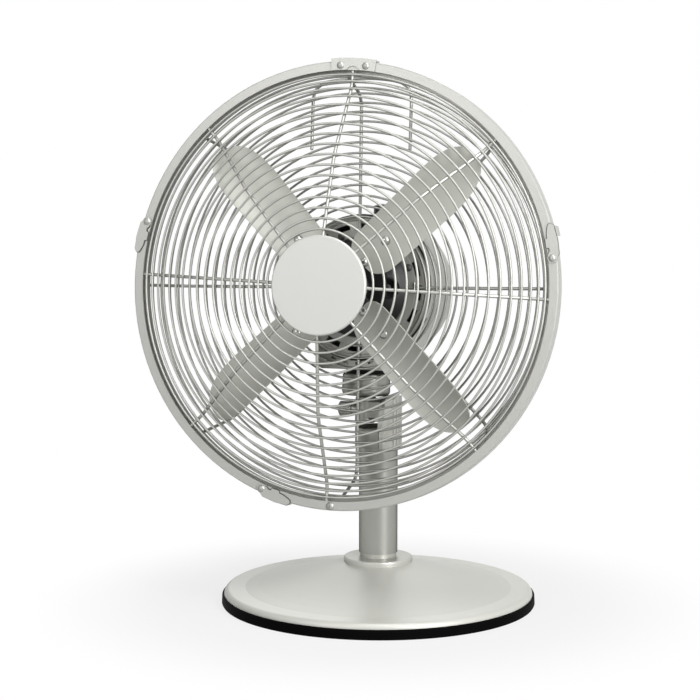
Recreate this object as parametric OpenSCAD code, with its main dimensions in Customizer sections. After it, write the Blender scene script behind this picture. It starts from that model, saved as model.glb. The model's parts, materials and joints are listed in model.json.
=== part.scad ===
// Desk fan on a round base: a tilting, oscillating motor head with a four-blade
// propeller inside a two-part wire cage.
// Frame: the floor is z = 0, the pole stands on the origin, the fan blows towards -Y.

/* [Base] */
// Diameter of the base over its black skirt
base_d = 260; // [220:1:300]
// Height of the black skirt that stands on the floor
skirt_h = 8; // [6:0.5:12]
// Gap between the skirt's edge and the edge of the steel cover
skirt_step = 2; // [1:0.5:4]
// Height of the top of the base cover above the floor
cover_top = 34; // [28:1:45]
// Width of the flat band around the cover's edge
cover_band = 13; // [8:1:20]
// Sheet thickness of the cover
cover_t = 1.2; // [0.8:0.1:2]
// Diameter of the ballast disc inside the base
ballast_d = 190; // [150:1:200]
// Thickness of the ballast disc
ballast_t = 7; // [5:0.5:9]

/* [Pole] */
// Outer diameter of the pole
pole_d = 32; // [28:1:36]
// Wall thickness of the pole
pole_wall = 1.5; // [1:0.1:2.5]
// Diameter of the foot collar that holds the pole
collar_d = 57; // [50:1:70]
// Height of the foot collar's flange
collar_h = 4.5; // [3:0.5:7]
// Height of the narrow ring between collar and pole
collar_neck_h = 3.5; // [2:0.5:6]
// Height of the pole's top end above the floor
pole_top = 140; // [120:1:160]
// Diameter of the tie bolt that runs up the pole
tie_d = 8; // [6:1:10]

/* [Neck] */
// Height of the tilt axis above the floor
pivot_z = 160.4; // [150:0.1:175]
// Distance of the fan's centre plane from the pole's, to the side
side_shift = 11.2; // [10:0.1:12.5]
// Wall of the neck sleeve around the pole
sleeve_wall = 3.2; // [2.5:0.1:4]
// Depth of the pole inside the sleeve
sleeve_grip = 9.4; // [8:0.2:18]
// Distance from the tilt axis down to the sleeve's top deck
deck_drop = 17; // [16:0.5:19]
// Radius of the cheek's rounded top, about the tilt axis
cheek_r = 10.8; // [10:0.1:10.9]
// Distance of the lap joint's face from the pole's axis
lap_x = 4.5; // [3:0.1:6]
// Thickness of the friction washer in the lap joint
washer_t = 0.8; // [0.5:0.1:1.5]
// Diameter of the tilting barrel
barrel_d = 17; // [16:0.5:20]
// Distance from the tilt axis down to the barrel's underside
barrel_low = 11; // [9:0.5:12]
// Distance from the tilt axis up to the barrel's top
barrel_high = 10.9; // [10.9:0.1:12]
// Diameter of the tilt knob
knob_d = 12.2; // [10:0.1:15]
// Length of the tilt knob
knob_l = 12.7; // [10:0.1:18]
// Diameter of the tilt bolt
bolt_d = 6; // [5:0.5:6.5]

/* [Head] */
// Upward tilt of the head as it stands
head_tilt = 5; // [-5:1:15]
// Height of the fan's axis above the tilt axis
axis_h = 100.3; // [95:0.1:110]
// Diameter of the swivel turret
turret_d = 39.8; // [36:0.1:44]
// Height of the swivel turret
turret_h = 18.2; // [15:0.1:20]
// Diameter of the swivel pin
pin_d = 10; // [8:0.5:11]
// Radial clearance of turning shafts and pins in their bores
run_gap = 0.05; // [0.03:0.01:0.09]
// Clearance between parts that pass without touching
free_gap = 0.3; // [0.3:0.05:0.5]

/* [Motor] */
// Diameter of the motor drum
drum_d = 120; // [110:1:130]
// Distance from the swivel axis forward to the drum's front rim
drum_front = 22.6; // [20:0.1:26]
// Distance from the swivel axis back to the drum's rear face
drum_back = 53; // [48:1:60]
// Radius of the drum's rear edge
drum_round = 14; // [8:1:20]
// Sheet thickness of the motor shells
shell_t = 1.6; // [1.2:0.1:2.4]
// Diameter of the motor shaft
shaft_d = 8; // [6:0.5:10]
// Diameter of the stator stack
stator_d = 84; // [70:1:90]
// Number of vent slots round the front shell
vent_count = 16; // [8:1:20]

/* [Blades] */
// Distance from the cage ring's middle plane forward to the blade plane
blade_out = 0; // [-6:0.1:1]
// Diameter of the circle that the blade tips sweep
sweep_d = 298; // [270:1:298]
// Pitch of the blades
blade_pitch = 24; // [18:1:30]
// Radius of the blades' hollow
camber_r = 45; // [40:1:60]
// Sheet thickness of the blades
blade_t = 1.2; // [0.8:0.1:2]
// Distance of the inner rivets from the fan's axis
rivet_in = 27.5; // [25:0.5:30]
// Distance of the outer rivets from the fan's axis
rivet_out = 51.7; // [45:0.1:60]
// Diameter of the blade rivets' heads
rivet_head_d = 7.8; // [6:0.1:9]

/* [Cage] */
// Outer diameter of the cage ring
ring_d = 354.8; // [346:0.1:365]
// Width of the cage ring's front face
ring_face = 7.2; // [6:0.1:9]
// Depth of the cage ring
ring_w = 10.1; // [9:0.1:13]
// Distance from the swivel axis forward to the ring's middle plane
ring_out = 70.6; // [70:0.1:76]
// Distance from the ring's middle plane forward to the middle of the front grille
dish_out = 48.5; // [46:0.5:54]
// Distance from the ring's middle plane back to the spokes on the rear grille's flat back
back_out = 45.6; // [44:0.1:46]
// Diameter of the ring wires
wire_d = 1.9; // [1.5:0.1:2.5]
// Diameter of the spoke wires
spoke_d = 2.6; // [2:0.1:3.4]
// Number of spokes in each grille
spoke_count = 8; // [6:1:12]
// Number of wire rings in the front grille
front_rings_n = 17; // [12:1:17]
// Number of wire rings on the flat back of the rear grille
rear_rings_n = 12; // [9:1:12]
// Diameter of the round badge in the middle of the front grille
badge_d = 77; // [70:1:80]
// Height of the badge's rim
badge_t = 3.3; // [2.5:0.1:3.3]

/* [Hidden] */
$fn = 48;

silver = [0.80, 0.80, 0.77];
greige = [0.72, 0.72, 0.68];
steel = [0.62, 0.62, 0.60];
dark = [0.08, 0.08, 0.08];
brass_tone = [0.70, 0.56, 0.32];

base_r = base_d / 2;
cover_r = base_r - skirt_step;
lip_r = 4.6;
pole_r = pole_d / 2;
collar_r = collar_d / 2;
foot_r = 14;
tie_r = tie_d / 2;
tray_floor = 1.5;
tray_t = 2;
ballast_z = tray_floor + tray_t;
ballast_top = ballast_z + ballast_t;
nut_h = 6;
nut_r = 7.5;
washer_r = 11;
grommet_z = 4.6;
grommet_r = 2.3;
plate_t = 1.2;
seat_gap = 0.05;

// The collar stands on the ballast and clamps the cover under its flange.
flange_top = cover_top + collar_h;
pole_foot = flange_top + collar_neck_h;
plug_len = 20;

sleeve_r = pole_r + sleeve_wall;
deck_z = pivot_z - deck_drop;
sleeve_top = deck_z + 3.2;
sleeve_foot = pole_top - sleeve_grip;
cheek_back = lap_x + 5;
cap_x = 6;
cap_in = sleeve_r - 1.6;
flute_count = 7;
flute_step = 11.4;
flute_r = 1;

barrel_r = barrel_d / 2;
pad_w = 15;
pad_x = lap_x - seat_gap - washer_t;
boss_x = -side_shift - barrel_r - 2.4;
boss_r = 5;
bolt_r = bolt_d / 2;
knob_x = boss_x - 0.2;
pin_r = pin_d / 2;
pin_seat = bolt_r + free_gap + 1;

turret_r = turret_d / 2;
turret_low = barrel_high + 0.5;
turret_top = turret_low + turret_h;
seal_h = 3.7;
saddle_low = turret_top + seal_h;
pin_top = saddle_low + 6.5;
saddle_len = 47;
saddle_w = 72;

drum_r = drum_d / 2;
saddle_r = drum_r + 14;
shell_end = drum_front - 2.6;
face_in = 41;
nose_r = 13;
nose_foot = 20;
nose_base = drum_front + 12;
nose_out = drum_front + 18;
vent_in = 47.7;
vent_turn = 12;
vent_span = 14;
bush_r = 8;
bush_l = 10;
shaft_r = shaft_d / 2;
stator_r = stator_d / 2;
rotor_r = stator_r - 15.5;
stack_l = 18;
stack_mid = -5;
rotor_gap = 0.4;
switch_x = -24;
switch_y = -22;
stem_r = 3;
dial_r = 11;
dial_l = 12;
swing_f = -28;
swing_knob_r = 7;
swing_travel = 8;
gear_low = 14;
gear_high = 43;
gear_w = 26;
plate_in = 41.4;
plate_out = 47.2;

blade_f = ring_out + blade_out;
sweep_r = sweep_d / 2;
blade_count = 4;
trail_root = 21.1;
trail_tip = 21;
lead_root = 17.6;
lead_tip = 21.7;
tip_round = 42.6;
root_reach = 18;
camber_shift = -2.2;
root_at = 25;
root_keep = 6;
tip_power = 0.75;
shank_r = 2;
head_lift = 0.03;
rivet_head_h = 2.2;
arm_w = 21;
arm_reach = rivet_out + 9;
arm_t = 1.8;
hub_r = 13;
hub_back = blade_f - 20;
hub_front = blade_f + 3;

ring_r = ring_d / 2;
ring_half = ring_w / 2;
face_in_r = ring_r - ring_face;
rim_t = 1.2;
spoke_r = spoke_d / 2;
wire_r = wire_d / 2;
weld = 0.35;
bend_join = 0.01;
longest_wire = 1.25 * ring_r;
badge_r = badge_d / 2;
front_turn = -2;
rear_turn = 1;
badge_face = dish_out + 3.4;
rivet_at = ring_r - ring_face / 2;
rivet_face_r = 2.95;
rivet_shank_r = 1.5;
// Angles of the rivets and the screw in the ring's face: three clips, two bracket rivets, the screw.
rivet_angles = [8.5, 163.65, 249.8, 84.1, 91, -90.5];
clip_span = 8.6;
clip_proud = 3.6;
hook_z = -ring_half - 0.35;
bracket_from = 81.5;
bracket_to = 93.5;
screw_r = 1.6;
plate_mid = (plate_in + plate_out) / 2;
plate_screws = [22.5 : 90 : 292.5];
plate_back = drum_front - ring_out;

// A wire path lies in the plane of the fan's axis, from a start [radius, height, heading].
// Each step is [length, 0] for a straight or [radius, turn] for an arc.
// The front spokes slope twice and end flat under the ring's face; both slopes follow the ring.
front_seat = 3.32;
front_end_z = ring_half - rim_t - spoke_r - 0.37;
first_slope = 12;
second_slope = 29;
slope_bend = 50;
seat_bend = 21;
seat_len = 11.3;
front_start = [34, dish_out - 0.7, -first_slope];
slope_reach = ring_r - front_seat - front_start[0] - seat_len
    - slope_bend * (sin(second_slope) - sin(first_slope)) - seat_bend * sin(second_slope);
slope_drop = front_start[1] - front_end_z
    - slope_bend * (cos(first_slope) - cos(second_slope)) - seat_bend * (1 - cos(second_slope));
first_len = (slope_reach * sin(second_slope) - slope_drop * cos(second_slope)) / sin(second_slope - first_slope);
second_len = (slope_drop * cos(first_slope) - slope_reach * sin(first_slope)) / sin(second_slope - first_slope);
front_path = [[to_tenth(first_len), 0], [slope_bend, first_slope - second_slope],
    [to_tenth(second_len), 0], [seat_bend, second_slope], [seat_len, 0]];

// The rear spokes run out flat, bend forward and end on the rear rim's flange.
rear_seat = 7.79;
rear_bend = 14;
rear_slope = 70;
rear_wall = 33.5;
rear_start = [43, -back_out, 0];
rear_flat = to_tenth(ring_r - rear_seat - rear_start[0] - rear_bend * sin(rear_slope) - rear_wall * cos(rear_slope));
rear_path = [[rear_flat, 0], [rear_bend, rear_slope], [rear_wall, 0]];
rear_side_at = to_tenth(rear_flat + seg_length(rear_path[1]));
rear_side_n = 4;
rear_side_step = 10;

function to_tenth(x) = round(10 * x) / 10;
function arc_centre(p, seg) = let (s = sign(seg[1]))
    [p[0] - s * seg[0] * sin(p[2]), p[1] + s * seg[0] * cos(p[2])];
function path_step(p, seg) = seg[1] == 0 ?
    [p[0] + seg[0] * cos(p[2]), p[1] + seg[0] * sin(p[2]), p[2]] :
    let (s = sign(seg[1]), c = arc_centre(p, seg), h = p[2] + seg[1])
    [c[0] + s * seg[0] * sin(h), c[1] - s * seg[0] * cos(h), h];
function path_nodes(p, path, i = 0) = i == len(path) ? [p] :
    concat([p], path_nodes(path_step(p, path[i]), path, i + 1));
function seg_length(seg) = seg[1] == 0 ? seg[0] : seg[0] * abs(seg[1]) * PI / 180;
function seg_part(seg, s) = seg[1] == 0 ? [s, 0] : [seg[0], seg[1] * s / seg_length(seg)];
// The point [radius, height, heading] at the distance s along a path.
function path_point(p, path, s, i = 0) =
    i == len(path) - 1 || s <= seg_length(path[i]) ? path_step(p, seg_part(path[i], s)) :
    path_point(path_step(p, path[i]), path, s - seg_length(path[i]), i + 1);
// The distance along a path at which it reaches the radius r, found by halving.
function path_reach(p, path, r, lo = 0, hi = longest_wire, n = 24) = n == 0 ? (lo + hi) / 2 :
    let (mid = (lo + hi) / 2)
    path_point(p, path, mid)[0] < r ? path_reach(p, path, r, mid, hi, n - 1) :
    path_reach(p, path, r, lo, mid, n - 1);

// The rings keep an even pitch and close up a little beyond the place named.
ring_squeeze = 0.28;
front_first = badge_r + 4.9;
front_last = ring_r - 10.48;
front_even = 10;
rear_first = plate_out + 10.3;
rear_last = ring_r - 27.82;
rear_even = 8;
function closing(i, even) = ring_squeeze * pow(max(0, i - even), 2);
function spread_r(i, n, first, last, even) =
    first + (last - first + closing(n - 1, even)) / (n - 1) * i - closing(i, even);
function front_ring_r(i) = spread_r(i, front_rings_n, front_first, front_last, front_even);
function rear_ring_r(i) = spread_r(i, rear_rings_n, rear_first, rear_last, rear_even);

module in_head() {
    translate([-side_shift, 0, pivot_z]) rotate([-head_tilt, 0, 0]) children();
}
// Local x stays to the right, y points up and z forward along the fan's axis.
module on_axis() {
    in_head() translate([0, 0, axis_h]) rotate([90, 0, 0]) children();
}
module on_ring() {
    on_axis() translate([0, 0, ring_out]) children();
}
module tube(r_out, r_in, h) {
    difference() {
        cylinder(r = r_out, h = h);
        translate([0, 0, -1]) cylinder(r = r_in, h = h + 2);
    }
}
module along_x(x0, x1, r) {
    translate([x0, 0, 0]) rotate([0, 90, 0]) cylinder(r = r, h = x1 - x0);
}
// A block of an annulus, from the angle a0 over the span, between two heights.
module sector(r0, r1, a0, span, z0, z1) {
    rotate_extrude(angle = span, start = a0) translate([r0, z0]) square([r1 - r0, z1 - z0]);
}
module on_ring_at(a, r) {
    rotate([0, 0, a]) translate([r, 0, 0]) children();
}
module dome_head(r, h) {
    ball = (r * r + h * h) / (2 * h);
    intersection() {
        translate([0, 0, h - ball]) sphere(r = ball);
        cylinder(r = r + 1, h = h + 1);
    }
}

// ---- base ----
module base_skirt() {
    color(dark) difference() {
        rotate_extrude($fn = 128) polygon([
        [base_r - 0.6, 0], [base_r, 1], [base_r - 0.3, skirt_h - 0.8], [base_r - 1, skirt_h],
        [cover_r - 4, skirt_h], [cover_r - 4, ballast_z], [foot_r, ballast_z],
        [foot_r, tray_floor], [cover_r - 7, tray_floor], [cover_r - 5.5, 0]]);
        translate([0, base_r + 2, grommet_z]) rotate([90, 0, 0]) cylinder(r = grommet_r + seat_gap, h = 12);
        translate([0, base_r + 2, grommet_z]) rotate([90, 0, 0]) cylinder(r = grommet_r + 1, h = 3.2);
    }
}
function cover_line(drop) = concat(
    [for (a = [0 : 15 : 90]) [cover_r - lip_r + (lip_r - drop) * cos(a),
        skirt_h + (lip_r - drop) * sin(a)]],
    [for (i = [0 : 8]) let (t = i / 8, r0 = cover_r - lip_r - cover_band)
        [r0 + (collar_r - r0) * t,
        skirt_h + lip_r + 0.4 - drop + (cover_top - skirt_h - lip_r - 0.4) * pow(t, 1.1)]],
    [[foot_r + 0.1, cover_top - drop]]);
module base_cover() {
    outer = cover_line(0);
    inner = cover_line(cover_t);
    color(silver) rotate_extrude($fn = 128)
        polygon(concat(outer, [for (i = [len(inner) - 1 : -1 : 0]) inner[i]]));
}
module ballast_disc() {
    color(steel) difference() {
        translate([0, 0, ballast_z]) cylinder(r = ballast_d / 2, h = ballast_t);
        translate([0, 0, ballast_z - 1]) cylinder(r = washer_r + 1, h = ballast_t - 1.5);
        cylinder(r = tie_r + 0.2, h = ballast_top + 1);
    }
}
washer_z = ballast_top - 2.5 - plate_t;
module base_washer() {
    color(steel) translate([0, 0, washer_z]) tube(washer_r, tie_r + 0.2, plate_t);
}
module base_nut() {
    color(steel) translate([0, 0, washer_z - nut_h]) difference() {
        cylinder(r = nut_r, h = nut_h, $fn = 6);
        translate([0, 0, -1]) cylinder(r = tie_r + seat_gap, h = nut_h + 2);
    }
}
module tie_rod() {
    color(steel) translate([0, 0, 1]) cylinder(r = tie_r, h = deck_z - 2);
}
module foot_collar() {
    color(silver) difference() {
        rotate_extrude() polygon(concat(
            [[0, ballast_top], [foot_r, ballast_top], [foot_r, cover_top], [collar_r, cover_top]],
            [for (a = [0 : 18 : 90]) [collar_r - 1.6 + 1.6 * cos(a), flange_top - 1.6 + 1.6 * sin(a)]],
            [[pole_r - 1, flange_top], [pole_r - 1, pole_foot], [pole_r - pole_wall - seat_gap, pole_foot],
            [pole_r - pole_wall - seat_gap, pole_foot + plug_len], [0, pole_foot + plug_len]]));
        translate([0, 0, ballast_top - 1]) cylinder(r = tie_r + 0.2, h = pole_foot + plug_len);
    }
}
module pole() {
    color(steel) translate([0, 0, pole_foot]) tube(pole_r, pole_r - pole_wall, pole_top - pole_foot);
}
// The mains lead would leave the base through this bushing at the back.
module cord_grommet() {
    color(dark) translate([0, base_r - 0.7, grommet_z]) rotate([90, 0, 0]) difference() {
        union() {
            cylinder(r = grommet_r, h = 6);
            translate([0, 0, -1.5]) cylinder(r = grommet_r + 0.8, h = 2);
        }
        translate([0, 0, -2]) cylinder(r = grommet_r - 0.9, h = 9);
    }
}

// ---- neck ----
module neck_bracket() {
    color(greige) difference() {
        union() {
            translate([0, 0, sleeve_foot]) cylinder(r = sleeve_r, h = sleeve_top - sleeve_foot, $fn = 96);
            // Plug inside the pole, with the thread for the tie bolt.
            translate([0, 0, pole_top - plug_len])
                cylinder(r = pole_r - pole_wall - seat_gap, h = plug_len + 1);
            intersection() {
                cylinder(r = cap_in - 0.1, h = pivot_z + 30, $fn = 96);
                cheek_block();
            }
        }
        translate([0, 0, sleeve_foot - 1]) tube(pole_r + seat_gap, pole_r - pole_wall - seat_gap,
            pole_top - sleeve_foot + 1);
        translate([0, 0, deck_z]) difference() {
            cylinder(r = sleeve_r - 2, h = 10);
            translate([lap_x, -30, -1]) cube([30, 60, 12]);
        }
        cylinder(r = tie_r + seat_gap, h = deck_z - 1);
        // The ribbed cover is let into the sleeve's outside.
        translate([cap_x - 0.1, -30, sleeve_foot - 1]) difference() {
            cube([30, 60, sleeve_top - sleeve_foot + 2]);
            translate([0.1 - cap_x, 30, -1]) cylinder(r = cap_in - 0.1, h = 30, $fn = 96);
        }
        translate([0, 0, pivot_z]) along_x(0, cheek_back + 10, bolt_r + seat_gap);
    }
}
// The cheek of the lap joint, seen from the side, with its rounded top on the tilt axis.
module cheek_block() {
    foot_y = 17;
    foot_z = sleeve_top - pivot_z - 1;
    span = sqrt(foot_y * foot_y + foot_z * foot_z);
    lean = acos(cheek_r / span) + atan2(foot_z, foot_y) - 4;
    top_y = cheek_r * cos(lean);
    top_z = cheek_r * sin(lean);
    translate([lap_x, 0, pivot_z]) rotate([90, 0, 90]) linear_extrude(cheek_back - lap_x) union() {
        circle(r = cheek_r);
        polygon([[-foot_y, foot_z - 2], [foot_y, foot_z - 2], [foot_y, foot_z], [top_y, top_z],
            [-top_y, top_z], [-foot_y, foot_z]]);
    }
}
module neck_cover() {
    color(silver) difference() {
        intersection() {
            translate([0, 0, sleeve_foot]) cylinder(r = sleeve_r + 0.2, h = 60, $fn = 96);
            translate([cap_x, 0, pivot_z]) rotate([90, 0, 90]) linear_extrude(30) polygon([
                [-17.2, sleeve_foot - pivot_z], [17.2, sleeve_foot - pivot_z], [17.2, -20],
                [15.5, -10.4], [12.6, 4.6], [10.6, 10.2], [7.6, 12], [0, 12.6],
                [-7.6, 12], [-10.6, 10.2], [-12.6, 4.6], [-15.5, -10.4], [-17.2, -20]]);
        }
        translate([0, 0, sleeve_foot - 1]) cylinder(r = cap_in, h = sleeve_top - sleeve_foot + 1.1, $fn = 96);
        intersection() {
            cylinder(r = cap_in, h = pivot_z + 30, $fn = 96);
            translate([0, -30, sleeve_top]) cube([cheek_back + seat_gap, 60, 60]);
        }
        for (i = [0 : flute_count - 1])
            rotate([0, 0, (i - (flute_count - 1) / 2) * flute_step])
            translate([sleeve_r + 0.2, 0, sleeve_foot - 1]) cylinder(r = flute_r, h = 60, $fn = 24);
    }
}
module tilt_barrel() {
    edge = 2;
    color(greige) in_head() difference() {
        union() {
            rotate_extrude() polygon(concat([[0, -barrel_low]],
                [for (a = [0 : 15 : 90]) [barrel_r - edge + edge * sin(a), edge - barrel_low - edge * cos(a)]],
                [[barrel_r, barrel_high - 1], [barrel_r - 1, barrel_high], [0, barrel_high]]));
            along_x(boss_x + side_shift, 0, boss_r);
            intersection() {
                along_x(0, pad_x + side_shift, barrel_high - 1);
                translate([0, -pad_w / 2, -barrel_high]) cube([30, pad_w, 2 * barrel_high]);
            }
        }
        along_x(boss_x + side_shift - 1, pad_x + side_shift + 1, bolt_r + free_gap);
        translate([0, 0, pin_seat]) cylinder(r = pin_r + seat_gap / 5, h = barrel_high);
    }
}
module friction_washer() {
    color(dark) in_head() translate([pad_x + side_shift, 0, 0]) rotate([0, 90, 0])
        tube(pad_w / 2, bolt_r + free_gap, washer_t);
}
module swivel_pin() {
    color(steel) in_head() translate([0, 0, pin_seat]) cylinder(r = pin_r, h = pin_top - pin_seat);
}
module tilt_knob() {
    color(greige) translate([knob_x, 0, pivot_z]) rotate([0, -90, 0]) difference() {
        union() {
            cylinder(r = knob_d / 2, h = knob_l - 2);
            translate([0, 0, knob_l - 2]) dome_head(knob_d / 2, 2);
        }
        for (k = [0 : 15]) rotate([0, 0, 22.5 * k])
            translate([knob_d / 2 + 0.5, 0, 1.5]) cylinder(r = 0.9, h = knob_l - 4.5, $fn = 16);
        translate([0, 0, -1]) cylinder(r = bolt_r + 0.01, h = knob_l - 3);
    }
}
module tilt_bolt() {
    color(steel) translate([0, 0, pivot_z]) along_x(knob_x - knob_l + 4, cheek_back - 0.1, bolt_r);
}

// ---- swivel turret ----
module turret() {
    foot = 4;
    step = turret_low + turret_h / 2;
    color(greige) in_head() difference() {
        rotate_extrude($fn = 96) polygon(concat([[0, turret_low]],
            [for (a = [0 : 15 : 90]) [turret_r - foot + foot * sin(a), turret_low + foot - foot * cos(a)]],
            [[turret_r, step], [turret_r - 0.8, step + 0.2], [turret_r - 0.8, step + 1.2],
            [turret_r - 0.2, step + 1.4], [turret_r - 0.2, turret_top - 1],
            [turret_r - 1.2, turret_top], [0, turret_top]]));
        cylinder(r = pin_r + run_gap, h = turret_top + 1);
    }
}
module turret_seal() {
    color(dark) in_head() translate([0, 0, turret_top]) tube(turret_r - 3, pin_r + run_gap, seal_h);
}

// ---- motor ----
module motor_saddle() {
    deep = 20;
    color(greige) on_axis() difference() {
        translate([0, 0, drum_front - 0.5 - saddle_len]) linear_extrude(saddle_len) difference() {
            intersection() {
                circle(r = saddle_r, $fn = 96);
                translate([-saddle_w / 2, saddle_low - axis_h]) square([saddle_w, deep]);
            }
            circle(r = drum_r + seat_gap, $fn = 96);
        }
        sector(drum_r + 5, drum_r + 6, -90 - 36, 72, drum_front - 1.3, drum_front);
        for (a = [-20 : 10 : 20])
            sector(drum_r + 0.9, drum_r + 2.9, -92.3 + a, 4.6, drum_front - 4, drum_front);
        translate([0, saddle_low - axis_h, 0]) rotate([-90, 0, 0])
            translate([0, 0, -1]) cylinder(r = pin_r + run_gap, h = 30);
    }
}
module motor_rear() {
    color(greige) on_axis() {
        difference() {
            union() {
                difference() {
                    rotate_extrude($fn = 96) polygon(drum_line(0));
                    rotate_extrude($fn = 96) polygon(drum_line(shell_t));
                }
                translate([0, 0, 1 - drum_back]) cylinder(r = bush_r + 3, h = bush_l + 6);
                for (k = [0 : 3]) rotate([0, 0, 45 + 90 * k])
                    translate([stator_r + seat_gap, -4, stack_mid - stack_l / 2 - 2])
                    cube([drum_r - shell_t - stator_r + 0.8, 8, stack_l + 4]);
            }
            translate([0, 0, 3 - drum_back]) cylinder(r = bush_r + 0.01, h = bush_l + 10);
            translate([switch_x, switch_y, -drum_back - 1]) cylinder(r = stem_r + free_gap, h = 4);
            translate([0, 0, swing_f]) rotate([-90, 0, 0]) cylinder(r = stem_r + free_gap, h = drum_r + 2);
        }
    }
}
function drum_line(t) = concat([[0, t - drum_back]],
    [for (a = [-90 : 15 : 0]) [drum_r - drum_round + (drum_round - t) * cos(a),
        drum_round - drum_back + (drum_round - t) * sin(a)]],
    [[drum_r - t, shell_end + (t > 0 ? 1 : 0)], [0, shell_end + (t > 0 ? 1 : 0)]]);
function dome_point(t, drop) = [face_in - 1.5 - drop / 2 + (nose_foot - face_in + 1.5) * t,
    drum_front + 1.6 - drop + (nose_base - drum_front - 1.6) * (1 - pow(1 - t, 1.7))];
module motor_front() {
    rim_r = drum_r - 2.5;
    color(silver) on_axis() difference() {
        rotate_extrude($fn = 96) polygon([
            [drum_r - shell_t - seat_gap, shell_end - 8], [drum_r - shell_t - seat_gap, shell_end + 0.8],
            [rim_r, shell_end + 0.8], [rim_r, drum_front - 0.8], [rim_r - 0.8, drum_front],
            [rim_r - 2.4, drum_front], [rim_r - 2.8, drum_front - 0.6], [rim_r - 3.2, drum_front],
            [face_in, drum_front], each [for (i = [0 : 5]) dome_point(i / 5, 0)],
            [nose_r, nose_base + 1], [nose_r, nose_out - 1], [nose_r - 1, nose_out],
            [bush_r + 0.01, nose_out], [bush_r + 0.01, nose_base - 3],
            each [for (i = [5 : -1 : 0]) dome_point(i / 5, shell_t)],
            [face_in - 0.5, drum_front - shell_t],
            [rim_r - 5, drum_front - shell_t], [rim_r - 5, shell_end - 8]]);
        for (a = plate_screws) on_ring_at(a, plate_mid)
            translate([0, 0, drum_front - 5]) cylinder(r = screw_r + 0.01, h = 6);
        for (k = [0 : vent_count - 1])
            sector(vent_in, vent_in + 4.6, 360 / vent_count * k + vent_turn, vent_span, drum_front - 5,
                drum_front + 1);
    }
}
module stator_core() {
    color(steel) on_axis() translate([0, 0, stack_mid - stack_l / 2])
        tube(stator_r, rotor_r + rotor_gap, stack_l);
}
module stator_windings() {
    coil_in = rotor_r + 2.5;
    coil_out = stator_r - 2;
    coil_l = 8;
    color(brass_tone) on_axis() for (z = [stack_mid + stack_l / 2, stack_mid - stack_l / 2 - coil_l])
        translate([0, 0, z]) tube(coil_out, coil_in, coil_l);
}
module front_bush() {
    color(brass_tone) on_axis() translate([0, 0, nose_out - bush_l]) tube(bush_r, shaft_r + run_gap, bush_l);
}
module rear_bush() {
    color(brass_tone) on_axis() translate([0, 0, 5 - drum_back]) tube(bush_r, shaft_r + run_gap, bush_l);
}
module gearbox() {
    color(dark) on_axis() difference() {
        translate([-gear_w / 2, gear_low, shell_t - drum_back])
            cube([gear_w, gear_high - gear_low, drum_back - shell_t + swing_f + 6]);
        translate([0, gear_high - 12 - swing_travel, swing_f]) rotate([-90, 0, 0])
            cylinder(r = stem_r + run_gap, h = 40);
    }
}
module speed_switch() {
    color(dark) on_axis() translate([switch_x, switch_y, shell_t - drum_back]) difference() {
        translate([-8, -8, 0]) cube([16, 16, 12]);
        translate([0, 0, -1]) cylinder(r = stem_r + run_gap, h = 8);
    }
}
module speed_knob() {
    color(dark) on_axis() translate([switch_x, switch_y, -drum_back]) {
        translate([0, 0, -0.5]) cylinder(r = stem_r, h = shell_t + 6);
        translate([0, 0, -free_gap - dial_l]) difference() {
            cylinder(r = dial_r, h = dial_l);
            for (k = [0 : 17]) rotate([0, 0, 20 * k + 10])
                translate([dial_r + 0.6, 0, -1]) cylinder(r = 1.2, h = dial_l - 2, $fn = 16);
            translate([2, -0.8, -1]) cube([dial_r, 1.6, 1.6]);
        }
    }
}
module swing_knob() {
    seat = drum_r + 2;
    color(dark) on_axis() translate([0, 0, swing_f]) rotate([-90, 0, 0]) {
        translate([0, 0, gear_high - 12]) cylinder(r = stem_r, h = seat + 2 - gear_high + 12);
        translate([0, 0, seat]) cylinder(r = swing_knob_r, h = 7);
        translate([0, 0, seat + 7]) dome_head(swing_knob_r, 2);
    }
}

// ---- rotor and propeller ----
module rotor_core() {
    color(steel) on_axis() translate([0, 0, stack_mid - stack_l / 2]) tube(rotor_r, shaft_r + 0.01, stack_l);
}
module motor_shaft() {
    color(steel) on_axis() translate([0, 0, 4 - drum_back])
        cylinder(r = shaft_r, h = blade_f + 1 + drum_back - 4);
}
module at_blade(k) {
    on_axis() translate([0, 0, blade_f]) rotate([0, 0, 45 + 360 / blade_count * k])
        rotate([blade_pitch, 0, 0]) children();
}
// A slice of the tube whose hollow all the blades follow, between two depths behind its face.
module camber_slice(front, back) {
    translate([0, -camber_shift, sqrt(camber_r * camber_r - camber_shift * camber_shift)])
        rotate([0, 90, 0]) difference() {
            cylinder(r = camber_r + back, h = sweep_r + 10, $fn = 192);
            translate([0, 0, -1]) cylinder(r = camber_r + front, h = sweep_r + 12, $fn = 192);
        }
}
module camber_hollow(front) {
    translate([0, -camber_shift, sqrt(camber_r * camber_r - camber_shift * camber_shift)])
        rotate([0, 90, 0]) cylinder(r = camber_r - front, h = sweep_r, $fn = 192);
}
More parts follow.
